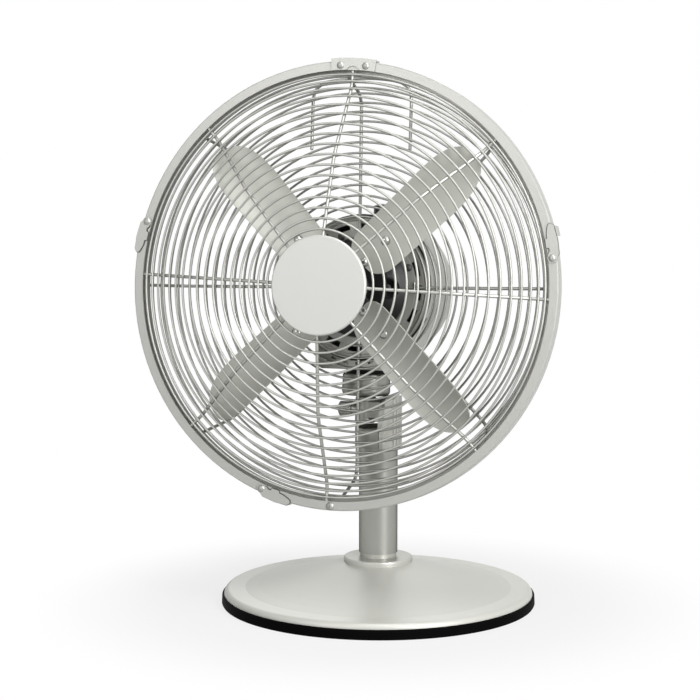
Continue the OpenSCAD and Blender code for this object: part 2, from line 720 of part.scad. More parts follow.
// Half the width of a blade at the distance rho, for its trailing or leading edge.
function blade_half(rho, root, tip) = root + (tip - root) * (rho - root_at) / (sweep_r - tip_round - root_at);
function blade_tip(a, tip) = [sweep_r - tip_round + tip_round * pow(cos(a), tip_power),
    sign(a) * tip * pow(abs(sin(a)), tip_power)];
module blade_outline() {
    near = root_at + root_reach;
    far = sweep_r - tip_round;
    polygon(concat(
        [for (a = [10 : 10 : 90]) [near - root_reach * sin(a), -root_keep - (blade_half(near, lead_root, lead_tip) - root_keep) * cos(a)]],
        [for (a = [90 : -10 : 10]) [near - root_reach * sin(a), root_keep + (blade_half(near, trail_root, trail_tip) - root_keep) * cos(a)]],
        [[near, blade_half(near, trail_root, trail_tip)], [far, trail_tip]],
        [for (a = [82 : -8 : 2]) blade_tip(a, trail_tip)],
        [for (a = [-2 : -8 : -82]) blade_tip(a, lead_tip)],
        [[far, -lead_tip], [near, -blade_half(near, lead_root, lead_tip)]]));
}
module blade(k) {
    color(silver) at_blade(k) difference() {
        intersection() {
            camber_slice(0, blade_t);
            translate([0, 0, -30]) linear_extrude(60) blade_outline();
        }
        for (rho = [rivet_in, rivet_out]) translate([rho, 0, -10]) cylinder(r = shank_r + seat_gap, h = 20);
    }
}
module blade_1() { blade(0); }
module blade_2() { blade(1); }
module blade_3() { blade(2); }
module blade_4() { blade(3); }
module fan_hub() {
    color(greige) difference() {
        union() {
            on_axis() translate([0, 0, hub_back]) cylinder(r = hub_r, h = hub_front - hub_back);
            for (k = [0 : blade_count - 1]) at_blade(k) difference() {
                intersection() {
                    camber_slice(blade_t + 0.03, blade_t + arm_t);
                    translate([0, -arm_w / 2, -30]) cube([arm_reach, arm_w, 60]);
                }
                for (rho = [rivet_in, rivet_out])
                    translate([rho, 0, -10]) cylinder(r = shank_r + seat_gap, h = 20);
            }
        }
        on_axis() translate([0, 0, hub_back - 1]) cylinder(r = shaft_r + 0.01, h = 60);
    }
}
module blade_rivets() {
    color(steel) for (k = [0 : blade_count - 1]) at_blade(k)
        for (rho = [rivet_in, rivet_out]) {
            translate([rho, 0, -arm_t - blade_t - 0.3]) cylinder(r = shank_r, h = arm_t + blade_t + 0.8);
            translate([rho, 0, -arm_t - blade_t - 1.3]) cylinder(r = shank_r + 1, h = 1.2);
            intersection() {
                translate([rho, 0, 0]) dome_head(rivet_head_d / 2, rivet_head_h);
                camber_hollow(head_lift);
            }
        }
}
module hub_screw() {
    color(steel) on_axis() translate([0, 0, blade_f + 1.05]) union() {
        cylinder(r = shaft_r, h = hub_front - blade_f - 1);
        translate([0, 0, hub_front - blade_f - 1.05]) cylinder(r = 7, h = 3, $fn = 6);
    }
}
// ---- wire paths ----
module wire_arc(p, seg, r) {
    c = arc_centre(p, seg);
    from = seg[1] > 0 ? p[2] - 90 : p[2] + 90 + seg[1];
    translate([c[0], 0, c[1]]) rotate([90, 0, 0])
        rotate_extrude(angle = abs(seg[1]), start = from)
        translate([seg[0], 0]) circle(r = r, $fn = 32);
}
module wire_run(p, path, r, join = 0) {
    at = path_nodes(p, path);
    for (i = [0 : len(path) - 1]) {
        if (path[i][1] == 0)
            translate([at[i][0], 0, at[i][1]]) rotate([0, 90 - at[i][2], 0])
                translate([0, 0, join]) cylinder(r = r, h = path[i][0] - 2 * join, $fn = 32);
        else
            wire_arc(at[i], path[i], r);
    }
}
module wire_ring(r, z) {
    translate([0, 0, z]) rotate_extrude($fn = 96) translate([r, 0]) circle(r = wire_r, $fn = 32);
}
// A wire ring laid on the inner side of the spokes, at the distance s along their path.
module ring_at(p, path, s) {
    q = path_point(p, path, s);
    lift = wire_r + spoke_r - weld;
    wire_ring(q[0] - lift * sin(q[2]), q[1] + lift * cos(q[2]));
}
// The same, for the ring whose own middle has the radius r.
module ring_of(p, path, r) {
    s = path_reach(p, path, r);
    q = path_point(p, path, s);
    ring_at(p, path, path_reach(p, path, r + (wire_r + spoke_r - weld) * sin(q[2])));
}
module rear_grille() {
    color(silver) on_ring() union() {
        for (k = [0 : spoke_count - 1])
            rotate([0, 0, 90 + rear_turn + 360 / spoke_count * k]) wire_run(rear_start, rear_path, spoke_r);
        for (i = [0 : rear_rings_n - 1]) ring_of(rear_start, rear_path, rear_ring_r(i));
        for (k = [0 : rear_side_n - 1]) ring_at(rear_start, rear_path, rear_side_at + rear_side_step * k);
    }
}
module front_grille() {
    color(silver) on_ring() union() {
        for (k = [0 : spoke_count - 1])
            rotate([0, 0, 90 + front_turn + 360 / spoke_count * k])
                wire_run(front_start, front_path, spoke_r, bend_join);
        for (i = [0 : front_rings_n - 1]) ring_of(front_start, front_path, front_ring_r(i));
    }
}

// ---- cage trim ----
module rear_plate() {
    color(silver) on_ring() translate([0, 0, plate_back]) difference() {
        cylinder(r = plate_out, h = -back_out - spoke_r + 0.02 - plate_back, $fn = 96);
        translate([0, 0, -1]) cylinder(r = plate_in, h = 5, $fn = 96);
        for (a = plate_screws) on_ring_at(a, plate_mid) translate([0, 0, -1])
            cylinder(r = screw_r + 0.1, h = 5);
    }
}
module rear_plate_screws() {
    color(steel) on_ring() for (a = plate_screws) on_ring_at(a, plate_mid) {
        translate([0, 0, plate_back - shell_t + 0.1]) cylinder(r = screw_r, h = 3.2);
        translate([0, 0, -back_out - spoke_r + 0.04]) dome_head(screw_r + 1.5, 1.8);
    }
}
module rear_rim() {
    color(silver) on_ring() rotate_extrude($fn = 128) polygon([
        [ring_r - rim_t - 8.5, -ring_half], [ring_r - rim_t - 0.1, -ring_half],
        [ring_r - rim_t - 0.1, ring_half - 2.6], [ring_r - 2 * rim_t - 0.1, ring_half - 2.6],
        [ring_r - 2 * rim_t - 0.1, rim_t - ring_half], [ring_r - rim_t - 8.5, rim_t - ring_half]]);
}
module front_rim() {
    color(silver) on_ring() difference() {
        rotate_extrude($fn = 128) polygon([
            [ring_r - rim_t, -ring_half], [ring_r, -ring_half], [ring_r, ring_half - 1],
            [ring_r - 0.3, ring_half - 0.3], [ring_r - 1, ring_half], [face_in_r, ring_half],
            [face_in_r, ring_half - rim_t], [ring_r - rim_t, ring_half - rim_t]]);
        for (a = rivet_angles) on_ring_at(a, rivet_at) cylinder(r = rivet_shank_r + 0.05, h = 10);
    }
}
module badge_plate() {
    color(dark) on_ring() translate([0, 0, dish_out - 3.6]) cylinder(r = badge_r - 2, h = 1.2);
}
module badge() {
    crown = badge_face - 1.5;
    color(silver) on_ring() rotate_extrude($fn = 96) polygon([
        [0, dish_out - 2.4], [5, dish_out - 2.4], [5, crown], [badge_r - 1.6, crown],
        [badge_r - 1.6, badge_face - badge_t], [badge_r, badge_face - badge_t],
        [badge_r, badge_face - 0.9], [badge_r - 0.9, badge_face], [0, badge_face]]);
}
// A plate on the ring's front face with a flange down its outside and a hook behind it.
module ring_plate(a0, a1, r_in, r_out) {
    sector(r_in, r_out, a0, a1 - a0, ring_half, ring_half + plate_t);
    sector(r_out - plate_t, r_out - 0.1, a0 + 0.5, a1 - a0 - 1, hook_z - plate_t, ring_half + 0.5);
    sector(ring_r - 4.5, r_out - 0.6, a0 + 1, a1 - a0 - 2, hook_z - plate_t + 0.1, hook_z);
}
module top_bracket() {
    mid = (bracket_from + bracket_to) / 2;
    color(silver) on_ring() difference() {
        ring_plate(bracket_from, bracket_to, face_in_r, ring_r + 2.2);
        on_ring_at(mid, face_in_r - 4) translate([0, 0, ring_half - 1]) cylinder(r = 7, h = 5);
        for (a = [rivet_angles[3], rivet_angles[4]]) on_ring_at(a, rivet_at)
            cylinder(r = rivet_shank_r + 0.05, h = 10);
    }
}
module face_rivet(a) {
    on_ring_at(a, rivet_at) {
        translate([0, 0, ring_half - rim_t - 0.6]) cylinder(r = rivet_shank_r, h = rim_t + plate_t + 0.8);
        translate([0, 0, ring_half + plate_t + 0.02]) dome_head(rivet_face_r, 1.6);
    }
}
module bracket_rivets() {
    color(steel) on_ring() for (k = [3, 4]) face_rivet(rivet_angles[k]);
}
module clip_rivets() {
    color(steel) on_ring() for (k = [0 : 2]) face_rivet(rivet_angles[k]);
}
module ring_screw() {
    color(steel) on_ring() on_ring_at(rivet_angles[5], rivet_at) {
        translate([0, 0, ring_half - rim_t - 1.5]) cylinder(r = rivet_shank_r, h = rim_t + 1.8);
        difference() {
            translate([0, 0, ring_half + 0.02]) dome_head(rivet_face_r + 0.4, 2);
            translate([-4, -0.4, ring_half + 1.2]) cube([8, 0.8, 2]);
        }
    }
}
// A spring clip: it pivots on its rivet and hooks the two rings together.
module clip(k) {
    a = rivet_angles[k];
    reach = ring_r + clip_proud;
    color(silver) on_ring() difference() {
        union() {
            sector(face_in_r + 0.5, reach, a - 0.6, clip_span + 0.6, ring_half + 0.03, ring_half + plate_t);
            on_ring_at(a, rivet_at) translate([0, 0, ring_half + 0.03])
                cylinder(r = rivet_face_r + 0.8, h = plate_t - 0.03);
            sector(reach - plate_t, reach - 0.1, a + 3, clip_span - 3.6, hook_z - plate_t, ring_half + 0.5);
            sector(ring_r - 3, reach - 0.6, a + 4, clip_span - 5.6, hook_z - plate_t + 0.1, hook_z);
        }
        on_ring_at(a, rivet_at) cylinder(r = rivet_shank_r + 0.05, h = 10);
        on_ring_at(a + clip_span * 0.62, face_in_r) translate([0, 0, ring_half - 1]) cylinder(r = 1.6, h = 5);
    }
}
module clip_right() { clip(0); }
module clip_left() { clip(1); }
module clip_bottom() { clip(2); }

base_skirt();
base_cover();
ballast_disc();
base_washer();
base_nut();
tie_rod();
cord_grommet();
foot_collar();
pole();
neck_bracket();
neck_cover();
friction_washer();
tilt_barrel();
swivel_pin();
tilt_knob();
tilt_bolt();
turret();
turret_seal();
motor_front();
motor_rear();
motor_saddle();
stator_core();
stator_windings();
front_bush();
rear_bush();
gearbox();
speed_switch();
speed_knob();
swing_knob();
rotor_core();
motor_shaft();
fan_hub();
blade_1();
blade_2();
blade_3();
blade_4();
blade_rivets();
hub_screw();
rear_plate();
rear_plate_screws();
rear_grille();
rear_rim();
front_rim();
front_grille();
badge();
badge_plate();
top_bracket();
bracket_rivets();
clip_rivets();
ring_screw();
clip_right();
clip_left();
clip_bottom();
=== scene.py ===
"""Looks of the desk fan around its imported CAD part: materials, small details, light and camera."""

import json
import math

import bpy
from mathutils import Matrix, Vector
from mathutils.geometry import tessellate_polygon


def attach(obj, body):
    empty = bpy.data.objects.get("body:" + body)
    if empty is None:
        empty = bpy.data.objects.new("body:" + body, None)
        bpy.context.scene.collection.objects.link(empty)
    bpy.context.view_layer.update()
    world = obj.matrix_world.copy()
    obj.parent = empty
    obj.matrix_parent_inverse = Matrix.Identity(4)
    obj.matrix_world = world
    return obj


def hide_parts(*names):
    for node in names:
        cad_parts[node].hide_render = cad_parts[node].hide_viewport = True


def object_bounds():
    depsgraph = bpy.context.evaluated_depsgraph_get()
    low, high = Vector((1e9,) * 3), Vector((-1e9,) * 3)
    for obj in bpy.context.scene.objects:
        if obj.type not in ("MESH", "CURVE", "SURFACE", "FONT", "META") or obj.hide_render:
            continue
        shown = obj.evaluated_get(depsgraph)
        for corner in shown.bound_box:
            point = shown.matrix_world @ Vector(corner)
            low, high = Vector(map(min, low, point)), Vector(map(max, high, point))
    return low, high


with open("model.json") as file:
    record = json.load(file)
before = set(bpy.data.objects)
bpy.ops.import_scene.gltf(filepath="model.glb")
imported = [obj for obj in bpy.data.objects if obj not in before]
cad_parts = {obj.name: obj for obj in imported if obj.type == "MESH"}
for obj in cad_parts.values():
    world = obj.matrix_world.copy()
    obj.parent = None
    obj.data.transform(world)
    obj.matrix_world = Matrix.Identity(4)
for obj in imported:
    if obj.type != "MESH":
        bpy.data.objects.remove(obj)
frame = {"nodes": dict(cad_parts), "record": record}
cad_box = [list(corner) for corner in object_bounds()]
record = frame["record"]
nodes = frame["nodes"]
joints = {joint["name"]: joint for joint in record["behaviour"]["joints"]}

# ---- the fan's own axes ----

MM = 0.001
AXIS_POINT = Vector(joints["spin"]["pos_m"])
FORWARD = Vector(joints["spin"]["axis"]).normalized()
RIGHT = Vector((1, 0, 0))
UP = RIGHT.cross(-FORWARD).normalized()


def reach(node):
    """How far back and how far forward a CAD node reaches along the fan's axis, from AXIS_POINT."""
    out = [(v.co - AXIS_POINT).dot(FORWARD) for v in nodes[node].data.vertices]
    return min(out), max(out)


CAGE_MIDDLE = AXIS_POINT + FORWARD * sum(reach("front_rim")) / 2


def point(x, y, z, start=CAGE_MIDDLE):
    """A point x right, y up and z forward of the start along the fan's own axes, in mm."""
    return start + (RIGHT * x + UP * y + FORWARD * z) * MM


def polar(r, angle, z, start=CAGE_MIDDLE):
    """The same from a radius and an angle in degrees, anticlockwise from the right."""
    a = math.radians(angle)
    return point(r * math.cos(a), r * math.sin(a), z, start)


# ---- materials ----

FINE_DETAIL = 2.0
BUMP_DEPTH = 0.2 * MM


def link(tree, a, out, b, into):
    tree.links.new(a.outputs[out], b.inputs[into])


def surface(name, colour, metallic=0.0, roughness=0.5, grain=0.0, grain_scale=900.0, bump=0.0,
            stretch=(1, 1, 1), specular=0.5, mottle=0.0, edge=1.0):
    """A procedural material: base colour with a fine mottle, a grain in the roughness and a bump.
    An edge below 1 darkens the metal where it is seen at a grazing angle."""
    mat = bpy.data.materials.new(name)
    mat.use_nodes = True
    tree = mat.node_tree
    shader = tree.nodes["Principled BSDF"]
    shader.inputs["Base Color"].default_value = (*colour, 1)
    shader.inputs["Metallic"].default_value = metallic
    shader.inputs["Roughness"].default_value = roughness
    shader.inputs["Specular Tint"].default_value = (edge, edge, edge, 1)
    shader.inputs["Specular IOR Level"].default_value = specular
    place = tree.nodes.new("ShaderNodeTexCoord")
    spread = tree.nodes.new("ShaderNodeMapping")
    spread.inputs["Scale"].default_value = stretch
    noise = tree.nodes.new("ShaderNodeTexNoise")
    noise.inputs["Scale"].default_value = grain_scale
    noise.inputs["Detail"].default_value = FINE_DETAIL
    link(tree, place, "Object", spread, "Vector")
    link(tree, spread, "Vector", noise, "Vector")
    if grain:
        rough = tree.nodes.new("ShaderNodeMapRange")
        rough.inputs["To Min"].default_value = roughness - grain
        rough.inputs["To Max"].default_value = roughness + grain
        link(tree, noise, "Fac", rough, "Value")
        link(tree, rough, "Result", shader, "Roughness")
    if mottle:
        mix = tree.nodes.new("ShaderNodeMix")
        mix.data_type = "RGBA"
        mix.inputs["A"].default_value = (*[c * (1 - mottle) for c in colour], 1)
        mix.inputs["B"].default_value = (*[min(1, c * (1 + mottle)) for c in colour], 1)
        link(tree, noise, "Fac", mix, "Factor")
        link(tree, mix, "Result", shader, "Base Color")
    if bump:
        relief = tree.nodes.new("ShaderNodeBump")
        relief.inputs["Strength"].default_value = bump
        relief.inputs["Distance"].default_value = BUMP_DEPTH
        link(tree, noise, "Fac", relief, "Height")
        link(tree, relief, "Normal", shader, "Normal")
    return mat


def darker_within(mat, colour, radius, edge):
    """The material takes this colour within the radius of the fan's axis, with a soft edge."""
    tree = mat.node_tree
    shader = tree.nodes["Principled BSDF"]
    place = tree.nodes.new("ShaderNodeTexCoord")
    shift = tree.nodes.new("ShaderNodeVectorMath")
    shift.operation = "SUBTRACT"
    shift.inputs[1].default_value = AXIS_POINT
    across = tree.nodes.new("ShaderNodeVectorMath")
    across.operation = "CROSS_PRODUCT"
    across.inputs[1].default_value = FORWARD
    away = tree.nodes.new("ShaderNodeVectorMath")
    away.operation = "LENGTH"
    link(tree, place, "Object", shift, 0)
    link(tree, shift, "Vector", across, 0)
    link(tree, across, "Vector", away, "Vector")
    ramp = tree.nodes.new("ShaderNodeMapRange")
    ramp.inputs["From Min"].default_value = radius - edge
    ramp.inputs["From Max"].default_value = radius + edge
    link(tree, away, "Value", ramp, "Value")
    mix = tree.nodes.new("ShaderNodeMix")
    mix.data_type = "RGBA"
    link(tree, ramp, "Result", mix, "Factor")
    mix.inputs["A"].default_value = (*colour, 1)
    outside = shader.inputs["Base Color"].links[0].from_socket
    tree.links.new(outside, mix.inputs["B"])
    link(tree, mix, "Result", shader, "Base Color")
    return mat


LOOKS = {
    "skirt": surface("skirt", (0.002, 0.002, 0.002), roughness=0.6, specular=0.02, bump=0.15),
    "satin_steel": surface("base silver", (0.56, 0.56, 0.52), metallic=0.2, roughness=0.42, grain=0.03,
                           grain_scale=2500, bump=0.06, mottle=0.015),
    "chrome": surface("pole", (0.36, 0.36, 0.335), metallic=0.8, roughness=0.36, grain=0.05,
                      grain_scale=700, bump=0.04, stretch=(1, 1, 0.02), edge=0.0),
    "dark_steel": surface("dark steel and painted shade", (0.07, 0.07, 0.068), metallic=0.6, roughness=0.45, grain=0.05),
    "black_rubber": surface("black rubber", (0.006, 0.006, 0.006), roughness=0.6, specular=0.2, bump=0.2),
    "neck_paint": surface("neck paint", (0.33, 0.33, 0.305), metallic=0.8, roughness=0.34, grain=0.04,
                          grain_scale=1800, bump=0.05, mottle=0.03, edge=0.0),
    "neck_trim": surface("neck trim", (0.55, 0.55, 0.51), metallic=0.5, roughness=0.34, grain=0.03,
                         grain_scale=1800, bump=0.04, edge=0.4),
    "rivet": surface("rivet", (0.40, 0.40, 0.38), metallic=0.6, roughness=0.36, grain=0.03,
                     grain_scale=1800, edge=0.0),
    "bright_steel": surface("bright steel", (0.42, 0.42, 0.40), metallic=1.0, roughness=0.20, grain=0.04,
                            edge=0.0),
    "motor_paint": surface("motor paint", (0.46, 0.46, 0.43), metallic=0.3, roughness=0.40, grain=0.03,
                           grain_scale=2000, bump=0.05, mottle=0.02),
    "motor_face": darker_within(
        surface("motor face", (0.40, 0.40, 0.375), metallic=0.4, roughness=0.36, grain=0.03,
                grain_scale=2000, bump=0.05, mottle=0.02),
        colour=(0.012, 0.012, 0.012), radius=40.5 * MM, edge=0.6 * MM),
    "core_steel": surface("core steel", (0.14, 0.14, 0.14), metallic=0.7, roughness=0.5, grain=0.05,
                          grain_scale=600, bump=0.3),
    "copper": surface("windings", (0.30, 0.12, 0.045), metallic=0.5, roughness=0.45, grain=0.05,
                      grain_scale=500, bump=0.5),
    "bronze": surface("bronze", (0.30, 0.22, 0.12), metallic=0.9, roughness=0.35, grain=0.04),
    "black_plastic": surface("black plastic and painted shade", (0.010, 0.010, 0.010), roughness=0.35, specular=0.3, bump=0.1),
    "blade_metal": surface("blade paint", (0.49, 0.495, 0.45), metallic=0.2, roughness=0.40, grain=0.03,
                           grain_scale=2200, bump=0.06, mottle=0.015),
    "rear_wire": surface("rear wire", (0.34, 0.34, 0.32), metallic=0.9, roughness=0.30, grain=0.04,
                         edge=0.0),
    "front_wire": surface("front wire", (0.42, 0.42, 0.395), metallic=0.9, roughness=0.44, grain=0.04,
                          edge=0.0),
    "ring_metal": surface("ring metal", (0.44, 0.44, 0.415), metallic=0.3, roughness=0.34, grain=0.03,
                          grain_scale=2200, bump=0.04, mottle=0.012),
    "badge_paint": surface("badge", (0.58, 0.58, 0.555), metallic=0.2, roughness=0.42, grain=0.03,
                           grain_scale=2600, bump=0.04, mottle=0.012),
}

# These nodes look different from the slot that the record gives them.
OWN_LOOKS = {"rear_plate_screws": "dark_steel", "foot_collar": "neck_trim", "clip_rivets": "rivet",
             "bracket_rivets": "rivet", "ring_screw": "rivet"}
for row in record["subparts"]:
    mesh = nodes[row["node"]].data
    mesh.materials.clear()
    mesh.materials.append(LOOKS[OWN_LOOKS.get(row["node"], row["material_slot"])])

# ---- shapes for the small pieces that the CAD leaves out ----


def solid(name, verts, faces, finish, body="head", rounded=True):
    """A piece from its points and faces, in this finish, that moves with the body."""
    mesh = bpy.data.meshes.new(name)
    mesh.from_pydata([tuple(v) for v in verts], [], faces)
    mesh.polygons.foreach_set("use_smooth", [rounded] * len(mesh.polygons))
    mesh.materials.append(LOOKS[finish])
    obj = bpy.data.objects.new(name, mesh)
    bpy.context.collection.objects.link(obj)
    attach(obj, body)
    return obj


def skin(rows, sides, first=0):
    """Faces of a closed shell: rows of points with this many sides, counted from first, and a cap on each end."""
    faces = []
    for i in range(rows - 1):
        here, there = first + i * sides, first + (i + 1) * sides
        for k in range(sides):
            n = (k + 1) % sides
            faces.append((here + k, here + n, there + n, there + k))
    last = first + (rows - 1) * sides
    faces.append(tuple(first + k for k in reversed(range(sides))))
    faces.append(tuple(last + k for k in range(sides)))
    return faces


def smooth(points, rounds=3):
    """The same open path with its corners cut round."""
    for _ in range(rounds):
        cut = [points[0]]
        for a, b in zip(points, points[1:]):
            cut += [a.lerp(b, 0.25), a.lerp(b, 0.75)]
        points = cut + [points[-1]]
    return points


def rod(name, points, radius, finish, sides=12):
    """A round wire along a path of points, with rounded ends. The radius is in mm."""
    radius *= MM
    start = (points[1] - points[0]).normalized()
    end = (points[-1] - points[-2]).normalized()
    dome = [(0.5 * radius * math.cos(math.radians(a)), radius * max(math.sin(math.radians(a)), 0.05))
            for a in (0, 30, 60, 90)]
    rows = [(points[0] - start * out, start, r) for out, r in dome]
    rows += [(here, (after - before).normalized(), radius)
             for before, here, after in zip(points, points[1:], points[2:])]
    rows += [(points[-1] + end * out, end, r) for out, r in reversed(dome)]
    side = start.orthogonal().normalized()
    verts = []
    for place, along, r in rows:
        side = (side - along * side.dot(along)).normalized()
        other = along.cross(side)
        for k in range(sides):
            turn = 2 * math.pi * k / sides
            verts.append(place + side * r * math.cos(turn) + other * r * math.sin(turn))
    return solid(name, verts, skin(len(rows), sides), finish)


def turned(name, middle, profile, finish, sides=32):
    """A lathed piece whose axis runs along the fan's; the profile holds (radius, forward) pairs in mm."""
    verts = [polar(r, 360 * k / sides, z, middle) for r, z in profile for k in range(sides)]
    return solid(name, verts, skin(len(profile), sides), finish)


def bands(name, rows, finish, body="head", start=AXIS_POINT):
    """Curved bars round the fan's axis, each (inner r, outer r, back, front, from angle, to angle)
    in mm from the start and in degrees."""
    verts, faces = [], []
    for r_in, r_out, back, front, a_from, a_to in rows:
        steps = max(2, math.ceil((a_to - a_from) / 4))
        faces += skin(steps + 1, 4, len(verts))
        for i in range(steps + 1):
            angle = a_from + (a_to - a_from) * i / steps
            for r, z in ((r_in, front), (r_out, front), (r_out, back), (r_in, back)):
                verts.append(polar(r, angle, z, start))
    return solid(name, verts, faces, finish, body, rounded=False)


# ---- the wires on the back of the cage ----

WIRE_R = 1.3
HANDLE_Z, HANDLE_SHIFT, HANDLE_HALF = -45.6, -2.4, 42.2
HANDLE_FOOT, HANDLE_SHOULDER, HANDLE_BOW = 112.0, 159.5, 169.6
CROSS_WIRE_R = 1.1
CROSS_OUT, CROSS_Z, CROSS_HALF = 47.2, -44.6, 4.2


def back_handle():
    """The wire loop behind the top of the cage: two legs on the rear rings and a bow that follows the rims."""
    leg = [HANDLE_FOOT, HANDLE_FOOT + 2, HANDLE_SHOULDER - 20, HANDLE_SHOULDER]
    path = [(-HANDLE_HALF, y) for y in leg]
    for k in range(-5, 6):
        a = math.radians(2.25 * k)
        path.append((HANDLE_BOW * math.sin(a), HANDLE_BOW * math.cos(a)))
    path += [(HANDLE_HALF, y) for y in reversed(leg)]
    points = [point(x + HANDLE_SHIFT, y, HANDLE_Z) for x, y in path]
    rod("back_handle", smooth(points), WIRE_R, "rear_wire")


def spoke_end(name, angle):
    """The short cross wire on the inner end of a rear spoke."""
    middle = polar(CROSS_OUT, angle, CROSS_Z)
    along = polar(1, angle + 90, 0, Vector()).normalized()
    ends = (-CROSS_HALF, 0.7 - CROSS_HALF, 0, CROSS_HALF - 0.7, CROSS_HALF)
    rod(name, [middle + along * t * MM for t in ends], CROSS_WIRE_R, "rear_wire")


back_handle()
for k in range(8):
    spoke_end(f"spoke_end_{k + 1}", 91 + 45 * k)

# ---- the motor's shell: seams, painted shade in the gap behind its front, cooling slots and two screw wells ----

SHELL_R, SHELL_FRONT = 60.0, 20.0
SEAM_W, SEAMS = 0.5, (12.0, 4.5, -3.0)
SLOT_BACK, SLOT_FRONT, SLOT_HALF = 15.2, 17.4, 2.4
BOSS_SIDE, BOSS_FOOT = 27.0, 29.0

bands("drum_seams", [(SHELL_R - 1, SHELL_R + 0.12, z, z + SEAM_W, 0, 360) for z in SEAMS], "black_plastic")
# The black band inside the gap behind the shell's front is painted shade: it stands for the shadow in that gap.
bands("drum_gap_painted_shade", [(SHELL_R - 2.8, SHELL_R - 0.3, SHELL_FRONT - 0.1, SHELL_FRONT + 0.7, 0, 360)],
      "black_plastic")
bands("drum_slots", [(SHELL_R - 1, SHELL_R + 0.15, SLOT_BACK, SLOT_FRONT, a - SLOT_HALF, a + SLOT_HALF)
                     for a in range(-165, -15, 10)], "black_plastic")
WELL = [(8.8, 0), (8.8, 4.6), (8.2, 5.2), (7.3, 5.2), (6.8, 4.6), (6.8, 3.9), (0.4, 3.9)]
SCREW = [(3.1, 3.6), (3.1, 4.6), (2.6, 5.3), (1.6, 5.8), (0.9, 5.9), (0.8, 5.3), (0.2, 5.3)]
for name, side in (("front_boss_right", 1), ("front_boss_left", -1)):
    foot = point(BOSS_SIDE * side, 0, BOSS_FOOT, AXIS_POINT)
    turned(name, foot, WELL, "black_plastic")
    turned(name + "_screw", foot, SCREW, "dark_steel", sides=24)

# ---- the three spring clips on the ring ----

CLIP_SEAT, CLIP_UNDER, CLIP_TOP = 5.08, 5.53, 6.25
RIVET_HOLE_R, LOBE_R = 1.6, 3.75
# The dark layer under each clip plate is painted shade: it is wider than the plate, most in the notches, and
# draws a shadow line round the clip.
SHADE_SPREAD = 0.36
# The plate's edge as (along the ring, away from the axis) from its rivet in mm. The notches face the axis.
CLIP_EDGE = [(2.6, 5.6), (13.6, 6.1), (24.2, 5.4), (26.1, 3.4), (25.7, 1.6), (23.6, 0.4), (20.0, -1.0),
             (17.6, -1.4), (16.1, -1.5), (15.3, -2.0), (15.2, -3.4), (8.5, -3.5), (8.2, -1.9), (7.0, -1.2),
             (5.4, -1.5), (3.9, -2.6)]
NOTCHES = range(4, len(CLIP_EDGE))
HOOK_BACK, HOOK_LIP = -6.6, 1.1
HOOK_LIP_R, HOOK_IN, HOOK_OUT = 174.6, 178.9, 180.0


def around(radius, first, last, step):
    """Points on a circle round the rivet, from the first angle to the last."""
    return [(radius * math.cos(math.radians(t)), radius * math.sin(math.radians(t)))
            for t in range(first, last, step)]


def clip_plate(name, clip, rivet_r, angle, low, high, spread, finish):
    """A clip's face: a round lobe on the rivet, a tab over the rim's inner edge and a tapered tip.
    The spread widens its straight sides, and twice as far in the notches."""
    edge = CLIP_EDGE + around(LOBE_R, -60, -271, -15)
    outer = []
    for k, (x, y) in enumerate(edge):
        (x0, y0), (x1, y1) = edge[k - 1], edge[(k + 1) % len(edge)]
        size = math.hypot(x1 - x0, y1 - y0)
        by = 0 if k >= len(CLIP_EDGE) else spread * (2 if k in NOTCHES else 1)
        outer.append((x - (y1 - y0) / size * by, y + (x1 - x0) / size * by))
    hole = around(RIVET_HOLE_R, 0, 360, 20)
    flat = [Vector((x, y, 0)) for x, y in outer + hole]
    n = len(flat)
    verts = [polar(rivet_r + p.y, angle + math.degrees(p.x / rivet_r), z) for z in (low, high) for p in flat]
    faces = []
    for a, b, c in tessellate_polygon([flat[:len(outer)], flat[len(outer):]]):
        if (flat[b] - flat[a]).cross(flat[c] - flat[a]).z < 0:
            b, c = c, b
        faces += [(a, b, c), (a + n, c + n, b + n)]
    for first, count in ((0, len(outer)), (len(outer), len(hole))):
        for k in range(count):
            here, there = first + k, first + (k + 1) % count
            faces.append((here, there, there + n, here + n))
    return solid(name, verts, faces, finish, clip, rounded=False)


for clip in ("clip_right", "clip_left", "clip_bottom"):
    rivet = Vector(joints[clip + "_turn"]["pos_m"]) - CAGE_MIDDLE
    x, y = rivet.dot(RIGHT), rivet.dot(UP)
    rivet_r, angle = math.hypot(x, y) / MM, math.degrees(math.atan2(y, x))
    plate = clip_plate(clip + "_plate", clip, rivet_r, angle, CLIP_UNDER, CLIP_TOP, 0, "ring_metal")
    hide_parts(clip)
    # A dark, slightly wider copy under the plate is painted shade along the clip's edges.
    clip_plate(clip + "_under_painted_shade", clip, rivet_r, angle, CLIP_SEAT, CLIP_UNDER, SHADE_SPREAD, "dark_steel")
    bands(clip + "_hook", [(HOOK_IN, HOOK_OUT, HOOK_BACK, CLIP_SEAT, angle + 5.4, angle + 7.8),
                           (HOOK_LIP_R, HOOK_IN, HOOK_BACK, HOOK_BACK + HOOK_LIP, angle + 5.8, angle + 7.4)],
          "ring_metal", clip, CAGE_MIDDLE)

# ---- stage, light and camera ----

FLOOR_HALF = 6.0
SKY_STRENGTH = 0.12
# The floor is seen as white beyond FADE_TO; nearer the base it keeps part of the shadow.
FADE_FROM, FADE_TO, WHITE_NEAR = 0.15, 0.30, 0.80
CAMERA_AT = (0.496815, -1.483919, 0.380149)
CAMERA_LOOK = Vector((-0.32970588, 0.93787885, -0.10806151))


def lamp(name, place, aim, width, height, power):
    """A rectangular soft lamp that faces its aim."""
    data = bpy.data.lights.new(name, "AREA")
    data.shape = "RECTANGLE"
    data.size = width
    data.size_y = height
    data.energy = power
    obj = bpy.data.objects.new(name, data)
    obj.location = place
    obj.rotation_mode = "QUATERNION"
    obj.rotation_quaternion = (Vector(aim) - Vector(place)).to_track_quat("-Z", "Y")
    bpy.context.collection.objects.link(obj)


